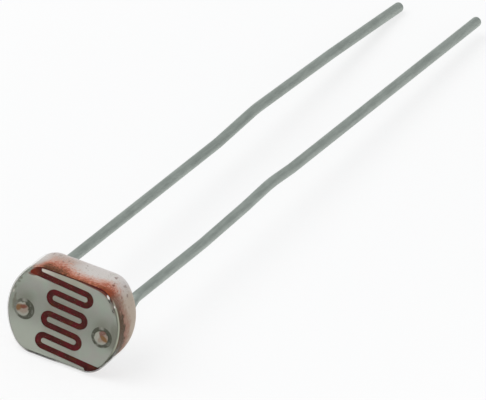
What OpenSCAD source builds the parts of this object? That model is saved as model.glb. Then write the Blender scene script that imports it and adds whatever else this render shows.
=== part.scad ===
// Photoresistor with two wire leads, lying on a table with its sensing face
// to the front and its leads running to the back.
// Every piece is drawn face up first: the front of the ceramic is at z = 0,
// x runs from lead to lead, y from flat to flat, and the leads go down.
// The whole is then laid on its lower flat and the tip of its lower lead.

/* [Ceramic base] */
// Width across the two round ends
ceramic_w = 4.75; // [4.4:0.05:6]
// Height across the two flats
ceramic_h = 3.7; // [3.4:0.05:4.2]
// Thickness from front face to back face
ceramic_t = 1.71; // [1.2:0.01:2.5]
// Radius of the corners where the flats meet the round ends
corner_r = 0.9; // [0.2:0.05:1]
// Radius of the edge round the front face
front_edge_r = 0.05; // [0.02:0.01:0.15]
// Radius of the edge round the back face
back_edge_r = 0.2; // [0.05:0.01:0.5]

/* [Photoconductive film] */
// Thickness of the film on the front face
film_t = 0.03; // [0.01:0.01:0.1]

/* [Electrodes] */
// Thickness of the two electrodes
electrode_t = 0.02; // [0.01:0.01:0.1]
// Bare film left between the electrodes and the rim of the film
electrode_margin = 0.02; // [0.01:0.01:0.2]
// Height of the electrode pattern, from its first strip to its last
pattern_h = 3.7; // [3.4:0.05:4.2]
// Number of rows in the winding track of bare film, an odd number
track_rows = 7; // [3:2:7]
// Distance from one row of the track to the next
row_pitch = 0.48; // [0.36:0.01:0.52]
// Width of the track
track_w = 0.26; // [0.1:0.01:0.3]
// Distance of the track's turns from the middle of the pattern
turn_x = 0.59; // [0.3:0.01:0.7]
// Distance of the free ends of the two outer strips from the middle of the pattern
strip_x = 1.43; // [1:0.01:2]
// Turn of the pattern on the face, in degrees
pattern_turn = -4.2; // [-8:0.1:8]
// Shift of the pattern towards the right lead
pattern_x = 0.05; // [-0.2:0.01:0.2]
// Shift of the pattern towards the upper flat
pattern_y = -0.03; // [-0.2:0.01:0.2]

/* [Leads] */
// Diameter of the wire
lead_d = 0.43; // [0.3:0.01:0.5]
// Distance between the two leads
lead_pitch = 3.37; // [3:0.01:3.5]
// Height of the two leads above the middle of the face
lead_y = -0.15; // [-0.3:0.01:0.2]
// Length of the left wire behind the ceramic
left_lead_len = 35; // [25:0.1:40]
// Length of the right wire behind the ceramic
right_lead_len = 35.2; // [25:0.1:40]
// Radius of the bends in the crank behind the ceramic, at the wire's middle
crank_bend_r = 0.6; // [0.5:0.1:1]
// Radius of the soft bends further along
soft_bend_r = 10; // [4:1:20]
// Thinning of the wire's radius where it is bent
bend_thinning = 0.003; // [0.002:0.001:0.01]
// Straight wire between the ceramic and the first bend
stub_len = 0.1; // [0.1:0.05:1]
// Lift of both wires at the crank
crank_rise = 0.61; // [0.5:0.01:0.8]
// Slope of the wire in the crank, in degrees
crank_slope = 38; // [20:1:40]
// Radius of the edge at the tip of the wire
tip_edge_r = 0.1; // [0.02:0.01:0.14]
// Diameter of the head that seats on the electrode
head_d = 0.62; // [0.52:0.01:0.8]
// Straight side of the head
head_side = 0.05; // [0.02:0.01:0.15]
// Height of the dome on the head
head_dome = 0.08; // [0.03:0.01:0.2]

/* [Contact rings] */
// Width of the conductive ring round a head
contact_w = 0.13; // [0.04:0.01:0.15]
// Height of the ring where it meets the head
contact_h = 0.05; // [0.02:0.01:0.15]

/* [Clear coat] */
// Thickness of the coat on the sides
coat_side_t = 0.06; // [0.03:0.01:0.15]
// Thickness of the coat over the electrodes
coat_face_t = 0.08; // [0.04:0.01:0.2]
// Radius of the coat's edge round the face
coat_edge_r = 0.2; // [0.05:0.01:0.25]
// Thickness of the coat over the top of a lead's head
coat_cap_t = 0.05; // [0.02:0.01:0.1]
// Width of the rise in the coat over a head, beyond the contact ring
coat_rise_w = 0.06; // [0.03:0.01:0.15]
// Bare ceramic left between the coat and the back face
coat_bare = 0.35; // [0.2:0.01:0.8]

/* [Fit] */
// Gap between a wire and its holes, on the radius
hole_gap = 0.03; // [0.01:0.01:0.06]

/* [Hidden] */
$fn = 64;
over = 1;

// Heights of the layers above the front of the ceramic
seat_z = film_t + electrode_t;
head_top_z = seat_z + head_side + head_dome;
coat_top_z = seat_z + coat_face_t;
coat_cap_z = max(coat_top_z, head_top_z + coat_cap_t);
coat_back_z = coat_bare - ceramic_t;

lead_r = lead_d / 2;
hole_d = lead_d + 2 * hole_gap;
lead_x = lead_pitch / 2;
contact_r = head_d / 2 + contact_w;
first_row_y = row_pitch * (track_rows - 1) / 2;
finger_w = row_pitch - track_w;
pattern_reach = ceramic_w;

// Each wire is a row of straight runs, [length, slope in degrees], joined by bends.
// The last run takes up what is left of the wire's length.
crank_len = (crank_rise - 2 * crank_bend_r * (1 - cos(crank_slope))) / sin(crank_slope);
root_z = seat_z + head_side / 2;
through_run = [root_z + ceramic_t + stub_len, 0];
crank_run = [crank_len, crank_slope];
crank_bends = 2;
bend_overlap = 0.04;
left_bends = [through_run, crank_run, [14.74, -0.2], [2.8, 3.3], [7.2, -2.1], [0, -3.2]];
right_bends = [through_run, crank_run, [6.04, -0.3], [3.7, 1.9], [1.6, 3.8], [1.2, -3.5], [0, -0.55]];
left_runs = finished(left_bends, left_lead_len + ceramic_t + root_z);
right_runs = finished(right_bends, right_lead_len + ceramic_t + root_z);

function turn_at(runs, i) = runs[i + 1][1] - runs[i][1];
function bend_r(i) = i < crank_bends ? crank_bend_r : soft_bend_r;
function bend_len(runs, i) = bend_r(i) * abs(turn_at(runs, i)) * PI / 180;
function used_len(runs, i = 0) = i == len(runs) - 1
    ? 0
    : runs[i][0] + bend_len(runs, i) + used_len(runs, i + 1);
function finished(runs, total) = [
    for (i = [0 : len(runs) - 1])
        i < len(runs) - 1 ? runs[i] : [total - tip_edge_r - used_len(runs), runs[i][1]]
];

// Where a wire's last run ends, as [depth behind the ceramic's front, height]
function run_step(run) = run[0] * [cos(run[1]), sin(run[1])];
function bend_step(r, from, to) = sign(to - from) * r * [sin(to) - sin(from), cos(from) - cos(to)];
function end_of(runs, i) = i == 0
    ? run_step(runs[0])
    : end_of(runs, i - 1) + bend_step(bend_r(i - 1), runs[i - 1][1], runs[i][1]) + run_step(runs[i]);
function wire_end(runs) = end_of(runs, len(runs) - 1) + [-root_z, lead_y];
function end_slope(runs) = runs[len(runs) - 1][1];

// The part rests on the back end of the coat's lower flat and on the lower edge of a wire's tip
coat_half_h = ceramic_h / 2 + coat_side_t;
heel = [-coat_back_z, -coat_half_h];
function tip_edge(runs) = wire_end(runs)
    + (lead_r - tip_edge_r) * [sin(end_slope(runs)), -cos(end_slope(runs))];
function pitch_to(edge) = atan2(edge[1] - heel[1], edge[0] - heel[0])
    - asin(tip_edge_r / norm(edge - heel));
rest_pitch = min(pitch_to(tip_edge(left_runs)), pitch_to(tip_edge(right_runs)));

// The floor, the front and the back of the part once it lies down
function laid_y(point) = point[0] * cos(rest_pitch) + point[1] * sin(rest_pitch);
function laid_z(point) = point[1] * cos(rest_pitch) - point[0] * sin(rest_pitch);
floor_z = laid_z(heel);
face_front_y = laid_y([coat_edge_r - coat_top_z, coat_edge_r - coat_half_h]) - coat_edge_r;
cap_front_y = laid_y([-coat_cap_z, lead_y]);
function tip_back_y(runs) = laid_y(wire_end(runs)) + tip_edge_r
    + (lead_r - tip_edge_r) * abs(sin(end_slope(runs) - rest_pitch));
front_y = min(face_front_y, cap_front_y);
back_y = max(tip_back_y(left_runs), tip_back_y(right_runs));

// Lays the part on the table, with the middle of its box over the origin
module lie() {
    translate([0, -(front_y + back_y) / 2, -floor_z])
        rotate([90 - rest_pitch, 0, 0])
            children();
}

// Disc outline with two flats, grown or shrunk all round from the ceramic's own outline
module outline(grow) {
    r = ceramic_w / 2 + grow;
    half_h = ceramic_h / 2 + grow;
    fillet = corner_r + grow;
    fillet_y = half_h - fillet;
    fillet_x = sqrt(pow(r - fillet, 2) - pow(fillet_y, 2));
    round_end = [fillet_x, fillet_y] * r / (r - fillet);
    difference() {
        intersection() {
            circle(r);
            square([2 * r, 2 * half_h], center = true);
        }
        for (side_x = [-1, 1], side_y = [-1, 1])
            scale([side_x, side_y])
                difference() {
                    polygon([
                        [fillet_x, fillet_y],
                        [fillet_x, half_h + over],
                        [round_end[0] + over, half_h + over],
                        [round_end[0] + over, round_end[1] * (1 + over / round_end[0])],
                    ]);
                    translate([fillet_x, fillet_y]) circle(fillet);
                }
    }
}

// Half section of a plate with rounded edges, from its middle to half_w
module edge_profile(half_w, bottom, top, bottom_r, top_r) {
    difference() {
        translate([0, bottom]) square([half_w, top - bottom]);
        edge_corner(half_w, top, top_r, -1);
        if (bottom_r > 0) edge_corner(half_w, bottom, bottom_r, 1);
    }
}

// The sharp corner that an edge round takes off
module edge_corner(half_w, level, r, inward) {
    difference() {
        translate([half_w - r, inward > 0 ? level - over : level - r])
            square([r + over, r + over]);
        translate([half_w - r, level + inward * r]) circle(r);
    }
}

// Flatted disc with its front and back edges rounded
module flatted_disc(grow, bottom, top, bottom_r, top_r) {
    intersection() {
        rotate_extrude()
            edge_profile(ceramic_w / 2 + grow, bottom, top, bottom_r, top_r);
        rotate([90, 0, 90])
            linear_extrude(2 * ceramic_w, center = true)
                for (side = [0, 1])
                    mirror([side, 0])
                        edge_profile(ceramic_h / 2 + grow, bottom, top, bottom_r, top_r);
        translate([0, 0, bottom - over])
            linear_extrude(top - bottom + 2 * over)
                outline(grow);
    }
}

// Moves a shape to the left (-1) or right (1) lead
module at_lead(side) {
    translate([side * lead_x, lead_y, 0]) children();
}

module lead_holes(bottom, top) {
    for (side = [-1, 1])
        at_lead(side)
            translate([0, 0, bottom - over])
                cylinder(h = top - bottom + 2 * over, d = hole_d);
}

module ceramic_blank() {
    flatted_disc(0, -ceramic_t, 0, back_edge_r, front_edge_r);
}

module ceramic_base() {
    color("#e6ddd6")
        lie()
            difference() {
                ceramic_blank();
                lead_holes(-ceramic_t, 0);
            }
}

// Film without its holes, from the given height up
module film_blank(bottom) {
    translate([0, 0, bottom])
        linear_extrude(film_t - bottom)
            outline(-front_edge_r);
}

module photoconductive_film() {
    color("#5a2018")
        lie()
            difference() {
                film_blank(0);
                lead_holes(0, film_t);
            }
}

// One comb of the electrode pattern: a broad side with fingers, and a strip under the last row
module comb() {
    difference() {
        union() {
            translate([-pattern_reach, -pattern_reach])
                square([pattern_reach - turn_x, pattern_reach + first_row_y - track_w / 2]);
            translate([-pattern_reach, -pattern_reach])
                square([pattern_reach + strip_x, pattern_reach - first_row_y - track_w / 2]);
            for (row = [0 : 2 : track_rows - 3])
                translate([0, first_row_y - (row + 0.5) * row_pitch]) {
                    translate([-pattern_reach, -finger_w / 2])
                        square([pattern_reach + turn_x, finger_w]);
                    translate([turn_x, 0]) circle(d = finger_w);
                }
        }
        for (row = [1 : 2 : track_rows - 2])
            translate([-turn_x, first_row_y - (row + 0.5) * row_pitch])
                circle(d = row_pitch + track_w);
    }
}

// Electrode without its hole, from the given height up
module electrode_blank(turn, bottom) {
    translate([0, 0, bottom])
        linear_extrude(seat_z - bottom)
            intersection() {
                outline(-front_edge_r - electrode_margin);
                translate([pattern_x, pattern_y])
                    rotate(pattern_turn)
                        intersection() {
                            square([2 * pattern_reach, pattern_h], center = true);
                            rotate(turn) comb();
                        }
            }
}

module electrode(turn) {
    color("#94998f")
        lie()
            difference() {
                electrode_blank(turn, film_t);
                lead_holes(film_t, seat_z);
            }
}

module electrode_left() {
    electrode(0);
}

module electrode_right() {
    electrode(180);
}

// Half section of a domed head that is seated at y = 0
module head_profile() {
    head_r = head_d / 2;
    dome_r = (pow(head_r, 2) + pow(head_dome, 2)) / (2 * head_dome);
    intersection() {
        square([head_r, head_side + head_dome]);
        translate([0, head_side + head_dome - dome_r]) circle(dome_r);
    }
}

// Half section of the fillet of conductive paste round a head
module contact_profile() {
    polygon([[head_d / 2, 0], [contact_r, 0], [head_d / 2, contact_h]]);
}

// A bend of the wire from the x direction, to the left or to the right of it.
// It reaches a little way into the straight runs before and after it.
module wire_bend(angle, r) {
    overlap = bend_overlap / r * 180 / PI;
    mirror([0, angle < 0 ? 1 : 0, 0])
        translate([0, r, 0])
            rotate([0, 0, -90 - overlap])
                rotate_extrude(angle = abs(angle) + 2 * overlap)
                    translate([r, 0]) circle(lead_r - bend_thinning);
}

module wire_tip() {
    rotate([0, 90, 0])
        rotate_extrude()
            edge_profile(lead_r, 0, tip_edge_r, 0, tip_edge_r);
}

// The wire along x, run by run, from the i-th run on
module wire(runs, i = 0) {
    run_len = runs[i][0];
    rotate([0, 90, 0]) cylinder(h = run_len, d = lead_d);
    translate([run_len, 0, 0])
        if (i < len(runs) - 1) {
            angle = turn_at(runs, i);
            wire_bend(angle, bend_r(i));
            translate(bend_r(i) * sign(angle) * [sin(angle), 1 - cos(angle), 0])
                rotate([0, 0, angle])
                    wire(runs, i + 1);
        } else {
            wire_tip();
        }
}

module lead(side, runs) {
    color("#8f9792")
        lie()
            at_lead(side) {
                translate([0, 0, seat_z]) rotate_extrude() head_profile();
                translate([0, 0, root_z]) rotate([0, 90, 0]) wire(runs);
            }
}

module lead_left() {
    lead(-1, left_runs);
}

module lead_right() {
    lead(1, right_runs);
}

module contact(side) {
    color("#4a4f4a")
        lie()
            at_lead(side)
                translate([0, 0, seat_z])
                    rotate_extrude() contact_profile();
}

module contact_left() {
    contact(-1);
}

module contact_right() {
    contact(1);
}

// Low rise of the coat over a lead's head
module coat_rise() {
    base_r = contact_r + coat_rise_w;
    rise = coat_cap_z - coat_top_z;
    rise_r = (pow(base_r, 2) + pow(rise, 2)) / (2 * rise);
    translate([0, 0, coat_top_z - coat_face_t / 2])
        rotate_extrude()
            intersection() {
                square([base_r, rise + coat_face_t / 2]);
                translate([0, rise + coat_face_t / 2 - rise_r]) circle(rise_r);
            }
}

// The room that a head and its contact ring take up in the coat
module head_hollow() {
    translate([0, 0, seat_z])
        rotate_extrude() {
            head_profile();
            contact_profile();
            translate([0, -seat_z]) square([contact_r, seat_z]);
        }
}

module clear_coat() {
    color("#d8d4c8", 0.4)
        lie()
            difference() {
                union() {
                    flatted_disc(coat_side_t, coat_back_z, coat_top_z, 0, coat_edge_r);
                    for (side = [-1, 1]) at_lead(side) coat_rise();
                }
                ceramic_blank();
                film_blank(-front_edge_r);
                for (turn = [0, 180]) electrode_blank(turn, 0);
                for (side = [-1, 1]) at_lead(side) head_hollow();
            }
}

ceramic_base();
photoconductive_film();
electrode_left();
electrode_right();
lead_left();
lead_right();
contact_left();
contact_right();
clear_coat();
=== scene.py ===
# %% [markdown]
# # A photoresistor on a white table
# The sensor is a small ceramic disc with two flats, a dark red film on its face, two
# metal combs on the film and two wires behind. The solids are loaded first, because
# every piece below is made to fit them.

# %% Load the solids
import math

import bmesh
import bpy
from mathutils import Matrix, Vector


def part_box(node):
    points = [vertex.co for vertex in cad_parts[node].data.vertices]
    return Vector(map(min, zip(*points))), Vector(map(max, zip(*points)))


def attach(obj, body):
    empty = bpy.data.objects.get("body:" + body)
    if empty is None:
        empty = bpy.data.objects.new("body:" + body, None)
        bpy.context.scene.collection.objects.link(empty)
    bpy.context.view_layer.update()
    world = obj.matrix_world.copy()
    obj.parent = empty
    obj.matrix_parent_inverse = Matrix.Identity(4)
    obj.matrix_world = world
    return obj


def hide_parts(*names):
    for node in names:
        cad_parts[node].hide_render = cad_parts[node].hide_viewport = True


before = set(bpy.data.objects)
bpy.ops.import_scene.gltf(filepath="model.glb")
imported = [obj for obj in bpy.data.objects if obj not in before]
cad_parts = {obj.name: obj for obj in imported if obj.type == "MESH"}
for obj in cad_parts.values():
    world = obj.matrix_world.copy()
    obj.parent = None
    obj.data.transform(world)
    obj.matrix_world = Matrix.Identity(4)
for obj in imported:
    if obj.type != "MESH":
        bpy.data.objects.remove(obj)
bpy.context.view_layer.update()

print("solids", sorted(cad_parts))

# %% [markdown]
# ## One drawing for all pieces
# The part lies on its lower flat with the leads to the back, a little pitched. It is far
# easier to draw it face up, in millimetres, with the front of the ceramic at height 0,
# x from lead to lead and y from flat to flat. The film is a flat plate, so its box gives
# the pitch and the place of the ceramic's front, and one matrix lays a drawn piece down.

# %% The drawing and how it is laid down
MM = 0.001
FILM_T = 0.03
film_low, film_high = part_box("photoconductive_film")
film_size = film_high - film_low
pitch = math.atan2(film_size.y - FILM_T * MM, film_size.z)
front_normal = Vector((0, -math.cos(pitch), math.sin(pitch)))
ceramic_front = (film_low + film_high) / 2 - front_normal * FILM_T * MM / 2
upright = math.pi / 2 - pitch
laid = Matrix.Translation(ceramic_front) @ Matrix.Rotation(upright, 4, "X") @ Matrix.Scale(MM, 4)
print("pitch in degrees", round(math.degrees(pitch), 4))
print("front of the ceramic in mm", [round(c / MM, 4) for c in ceramic_front])

# %% [markdown]
# ## The camera
# The photograph looks at the face from the upper right, from so far away that parallel
# lines stay almost parallel. So the camera stands half a metre off with a very long lens.
# It is also rolled a little, because the part lies askew in the picture. Its angles are
# measured from the face, so they are worked out on the drawing and then laid down with it.

# %% Camera
IMAGE_WIDTH = 486
SENSOR_WIDTH = 36
PIXELS_PER_MM = 25.785
CAMERA_DISTANCE = 500
TO_THE_RIGHT = math.radians(19.59)
ABOVE = math.radians(25.48)
ROLL = math.radians(11.40)
FACE_TO_MIDDLE = (7.009, 4.648)
COAT_TOP = 0.13

look = Vector((
    -math.sin(TO_THE_RIGHT) * math.cos(ABOVE),
    -math.sin(ABOVE),
    -math.cos(TO_THE_RIGHT) * math.cos(ABOVE),
))
level_right = Vector((math.cos(TO_THE_RIGHT), 0, -math.sin(TO_THE_RIGHT)))
level_up = level_right.cross(look)
right = level_right * math.cos(ROLL) + level_up * math.sin(ROLL)
up = level_up * math.cos(ROLL) - level_right * math.sin(ROLL)
middle = Vector((0, 0, COAT_TOP)) + right * FACE_TO_MIDDLE[0] + up * FACE_TO_MIDDLE[1]
stand = laid @ (middle - look * CAMERA_DISTANCE)
axes = Matrix((right, up, -look)).transposed()
turned = Matrix.Rotation(upright, 3, "X") @ axes

camera_data = bpy.data.cameras.new("camera")
camera_data.sensor_width = SENSOR_WIDTH
camera_data.lens = PIXELS_PER_MM * CAMERA_DISTANCE * SENSOR_WIDTH / IMAGE_WIDTH
camera = bpy.data.objects.new("camera", camera_data)
camera.matrix_world = Matrix.Translation(stand) @ turned.to_4x4()
bpy.context.scene.collection.objects.link(camera)
bpy.context.scene.camera = camera
bpy.context.scene.view_settings.view_transform = "Standard"
print("lens", round(camera_data.lens, 1))

# %% [markdown]
# ## Hand tools
# The pieces are modelled with the same operators that a hand would use. An operator acts
# on all that is selected, so these helpers begin with a clean selection, pick points,
# edges or faces by their place, and lay the finished piece down with its place in its mesh.

# %% Hand tools
TINY = 1e-4
SMOOTH_ANGLE = math.radians(35)


def clear_desk():
    """Leave edit mode and select nothing."""
    if bpy.context.mode != "OBJECT":
        bpy.ops.object.mode_set(mode="OBJECT")
    bpy.ops.object.select_all(action="DESELECT")


def take_up(piece):
    """Select one piece only and make it the active one."""
    clear_desk()
    piece.select_set(True)
    bpy.context.view_layer.objects.active = piece


def set_down(piece, matrix):
    """Move a piece and put its new place in its mesh."""
    take_up(piece)
    piece.matrix_world = matrix
    bpy.ops.object.transform_apply(location=True, rotation=True, scale=True)


def open_new(name):
    """Name the primitive that was just added, put its place in its mesh and edit it."""
    piece = bpy.context.object
    piece.name = name
    piece.data.name = name
    bpy.ops.object.transform_apply(location=True, rotation=True, scale=True)
    bpy.ops.object.mode_set(mode="EDIT")
    bpy.ops.mesh.select_mode(type="VERT")
    bpy.ops.mesh.select_all(action="SELECT")
    return piece


def pick(kind, test):
    """Select the points, edges or faces of which every corner passes the test."""
    bpy.ops.mesh.select_mode(type=kind)
    bpy.ops.mesh.select_all(action="DESELECT")
    mesh = bmesh.from_edit_mesh(bpy.context.object.data)
    if kind == "VERT":
        chosen = [point for point in mesh.verts if test(point.co)]
    else:
        members = mesh.edges if kind == "EDGE" else mesh.faces
        chosen = [one for one in members if all(test(point.co) for point in one.verts)]
    for one in chosen:
        one.select_set(True)
    mesh.select_flush_mode()
    bmesh.update_edit_mesh(bpy.context.object.data)
    return len(chosen)


def stretch(move):
    """Extrude what is selected."""
    bpy.ops.mesh.extrude_region_move(TRANSFORM_OT_translate={"value": tuple(move)})


def sweep(angle, centre, axis, steps):
    """Extrude what is selected round an axis. The operator turns left-handed."""
    bpy.ops.mesh.spin(steps=steps, angle=-angle, center=tuple(centre), axis=axis)


def shrink(factor, centre):
    """Scale what is selected about a centre."""
    bpy.ops.transform.resize(value=(factor, factor, factor), center_override=tuple(centre))


def close_up():
    """Merge doubles and turn all faces outwards."""
    bpy.ops.mesh.select_all(action="SELECT")
    bpy.ops.mesh.remove_doubles(threshold=TINY)
    bpy.ops.mesh.normals_make_consistent(inside=False)
    bpy.ops.object.mode_set(mode="OBJECT")


def carve(piece, tool, operation="DIFFERENCE"):
    """Cut a piece with another one, or join them, and throw the tool away."""
    take_up(piece)
    modifier = piece.modifiers.new("carve", "BOOLEAN")
    modifier.operation = operation
    modifier.object = tool
    modifier.solver = "EXACT"
    bpy.ops.object.modifier_apply(modifier=modifier.name)
    bpy.data.objects.remove(tool)


def finish_piece(piece, material, node):
    """Lay a drawn piece down, give it its shading and material and hide the solid it replaces."""
    take_up(piece)
    bpy.ops.object.shade_smooth_by_angle(angle=SMOOTH_ANGLE)
    set_down(piece, laid)
    piece.data.materials.clear()
    piece.data.materials.append(material)
    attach(piece, "root")
    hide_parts(node)
    print(piece.name, "faces", len(piece.data.polygons))


print("hand tools ready, doubles merge below", TINY, "mm")

# %% [markdown]
# ## Sums on sockets
# A finish is a small net of nodes. Written node by node it is hard to read, so a socket is
# wrapped in a class that knows plus, minus, times, divide and power: a sum on two sockets
# then adds its own Math node. Every other node comes from one method of the finish.

# %% Sums on sockets
class Value:
    """One socket of a finish, on which sums can be written."""

    def __init__(self, finish, socket):
        self.finish = finish
        self.socket = socket

    def math(self, operation, first, second):
        return self.finish.node("ShaderNodeMath", {"operation": operation}, {0: first, 1: second})

    def __add__(self, other):
        return self.math("ADD", self, other)

    def __radd__(self, other):
        return self.math("ADD", other, self)

    def __sub__(self, other):
        return self.math("SUBTRACT", self, other)

    def __rsub__(self, other):
        return self.math("SUBTRACT", other, self)

    def __mul__(self, other):
        return self.math("MULTIPLY", self, other)

    def __rmul__(self, other):
        return self.math("MULTIPLY", other, self)

    def __truediv__(self, other):
        return self.math("DIVIDE", self, other)

    def __pow__(self, other):
        return self.math("POWER", self, other)


print("sums ready for sockets")

# %% A finish made of nodes
class Finish:
    """A material made of nodes."""

    def __init__(self, name, tree=None):
        if tree is None:
            self.material = bpy.data.materials.new(name)
            self.material.use_nodes = True
            tree = self.material.node_tree
        self.tree = tree
        self.tree.nodes.clear()

    def node(self, kind, settings, sockets, out=0):
        """Add a node: its settings first, then the values or links of its sockets."""
        made = self.tree.nodes.new(kind)
        for name, setting in settings.items():
            if name == "stops":
                ramp = made.color_ramp
                while len(ramp.elements) < len(setting):
                    ramp.elements.new(1.0)
                for element, (place, colour) in zip(ramp.elements, setting):
                    element.position = place
                    element.color = (*colour, 1)
            else:
                setattr(made, name, setting)
        for name, value in sockets.items():
            if isinstance(value, Value):
                self.tree.links.new(value.socket, made.inputs[name])
            else:
                made.inputs[name].default_value = value
        return Value(self, made.outputs[out]) if made.outputs else None

    def drawing(self):
        """The place on the drawing, in millimetres: the vector and its x, y and z."""
        placed = self.node("ShaderNodeTexCoord", {}, {}, "Object")
        drawn = self.node("ShaderNodeMapping", {"vector_type": "TEXTURE"}, {
            "Vector": placed,
            "Location": ceramic_front,
            "Rotation": (upright, 0, 0),
            "Scale": (MM, MM, MM),
        })
        parts = [self.node("ShaderNodeSeparateXYZ", {}, {0: drawn}, out) for out in range(3)]
        return drawn, *parts

    def noise(self, vector, scale, detail, roughness=0.5):
        """Cloudy noise about one half, with so many clouds to the millimetre."""
        return self.node("ShaderNodeTexNoise", {}, {
            "Vector": vector,
            "Scale": scale,
            "Detail": detail,
            "Roughness": roughness,
        })

    def fade(self, value, low, high):
        """0 at low and 1 at high, with a soft start and end."""
        return self.node("ShaderNodeMapRange", {"interpolation_type": "SMOOTHSTEP"}, {
            "Value": value,
            "From Min": low,
            "From Max": high,
        })

    def larger(self, first, second):
        return self.node("ShaderNodeMath", {"operation": "MAXIMUM"}, {0: first, 1: second})

    def size(self, value):
        return self.node("ShaderNodeMath", {"operation": "ABSOLUTE"}, {0: value})

    def distance(self, x, y):
        """Distance from the origin of a flat place."""
        return (x * x + y * y) ** 0.5

    def marks(self, x, y, spots):
        """1 on small soft marks: a place, a turn in degrees, half the length and half the width."""
        found = 0
        for spot_x, spot_y, turn, length, width in spots:
            along = (math.cos(math.radians(turn)), math.sin(math.radians(turn)))
            over = ((x - spot_x) * along[0] + (y - spot_y) * along[1]) / length
            across = ((y - spot_y) * along[0] - (x - spot_x) * along[1]) / width
            found = self.larger(found, self.fade(self.distance(over, across), 1.0, 0.5))
        return found

    def blend(self, factor, first, second):
        """One colour over another."""
        def colour(one):
            return one if isinstance(one, Value) else (*one, 1)
        return self.node("ShaderNodeMix", {"data_type": "RGBA"}, {
            0: factor,
            6: colour(first),
            7: colour(second),
        }, 2)

    def ramp(self, value, stops):
        """A colour for each value, with soft steps between the stops."""
        return self.node("ShaderNodeValToRGB", {"stops": stops}, {"Fac": value})

    def bump(self, height, distance, strength):
        """A relief of so many millimetres."""
        return self.node("ShaderNodeBump", {}, {
            "Strength": strength,
            "Distance": distance * MM,
            "Height": height,
        })

    def surface(self, sockets):
        return self.node("ShaderNodeBsdfPrincipled", {}, sockets)

    def done(self, shader):
        self.node("ShaderNodeOutputMaterial", {}, {"Surface": shader})
        return self.material


print("finishes ready for nodes")

# %% [markdown]
# ## The outline
# Ceramic, combs and coat share one outline: a disc with two flats whose corners are
# rounded. A circle cut off by two planes would leave sharp corners, so the line is drawn
# as with a compass: one point is pulled along a flat and swept round each centre in turn.

# %% Outline
CERAMIC_W = 4.75
CERAMIC_H = 3.7
CORNER_R = 0.9
CORNER_STEPS = 14
END_STEPS = 56


def draw_outline(name, grow, level):
    """A flat face with the ceramic's outline, grown all round, at a height."""
    end_r = CERAMIC_W / 2 + grow
    half_h = CERAMIC_H / 2 + grow
    corner = CORNER_R + grow
    corner_y = half_h - corner
    corner_x = math.sqrt((end_r - corner) ** 2 - corner_y ** 2)
    corner_turn = math.atan2(corner_x, corner_y)
    end_turn = math.pi - 2 * corner_turn
    clear_desk()
    bpy.ops.mesh.primitive_plane_add(size=1, location=(-corner_x, half_h, level))
    piece = open_new(name)
    bpy.ops.mesh.merge(type="CENTER")
    axis = (0, 0, 1)
    for side in (1, -1):
        along_flat = (2 * side * corner_x, 0, 0)
        bpy.ops.mesh.extrude_vertices_move(TRANSFORM_OT_translate={"value": along_flat})
        sweep(-corner_turn, (side * corner_x, side * corner_y, level), axis, CORNER_STEPS)
        sweep(-end_turn, (0, 0, level), axis, END_STEPS)
        sweep(-corner_turn, (side * corner_x, -side * corner_y, level), axis, CORNER_STEPS)
    bpy.ops.mesh.select_all(action="SELECT")
    bpy.ops.mesh.remove_doubles(threshold=TINY)
    bpy.ops.mesh.edge_face_add()
    return piece


print("outline in mm", CERAMIC_W, "by", CERAMIC_H)

# %% [markdown]
# ## The ceramic disc
# The base is a pressed ceramic disc with soft edges and two holes for the wires. A cylinder
# would need its flats cut and its corners rounded afterwards, so the finished outline is
# pulled to its thickness instead. Then the two rims are bevelled and the holes are drilled.

# %% Ceramic disc
CERAMIC_T = 1.71
FRONT_EDGE_R = 0.05
BACK_EDGE_R = 0.2
BACK_INSET = 0.02
LEAD_X = 1.685
LEAD_Y = -0.15
HOLE_R = 0.245
RING_SIDES = 48

ceramic_disc = draw_outline("ceramic_disc", 0, 0)
stretch((0, 0, -CERAMIC_T))
pick("EDGE", lambda place: place.z > -TINY)
bpy.ops.mesh.bevel(offset=FRONT_EDGE_R, segments=4, affect="EDGES")
pick("EDGE", lambda place: place.z < TINY - CERAMIC_T)
bpy.ops.mesh.bevel(offset=BACK_EDGE_R, segments=8, affect="EDGES")
pick("FACE", lambda place: place.z < TINY - CERAMIC_T)
bpy.ops.mesh.inset(thickness=BACK_INSET)
close_up()
for side in (-1, 1):
    clear_desk()
    bpy.ops.mesh.primitive_cylinder_add(
        vertices=RING_SIDES,
        radius=HOLE_R,
        depth=2 * CERAMIC_T,
        location=(side * LEAD_X, LEAD_Y, -CERAMIC_T / 2),
    )
    drill = open_new("drill")
    close_up()
    carve(ceramic_disc, drill)
print("ceramic disc drawn", len(ceramic_disc.data.polygons))

# %% [markdown]
# ## The two combs
# Both electrodes are one thin metal layer that a winding track parts in two. The fingers
# could be drawn one by one, but one track cut out of one plate keeps every gap even. The
# plate has the outline and is cut to a band that is turned a little on the face. The track
# is an edge that is pulled along the rows and swept round the turns, as a brush would go,
# and then made a bar. The first and the last strip end short of the rim, so they are trimmed
# and their corners rounded. Last, the two halves are separated.

# %% Plate and track
SEAT_Z = 0.05
COMB_MARGIN = 0.07
BAND_H = 3.7
BAND_TURN = math.radians(-4.2)
BAND_SHIFT = Vector((0.05, -0.03, 0))
TRACK_ROWS = 7
ROW_PITCH = 0.48
TRACK_W = 0.26
TURN_X = 0.59
TURN_STEPS = 24
FIRST_ROW_Y = ROW_PITCH * (TRACK_ROWS - 1) / 2
TRACK_REACH = 4
BAR_T = 0.08
on_band = Matrix.Translation(BAND_SHIFT) @ Matrix.Rotation(BAND_TURN, 4, "Z")

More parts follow.
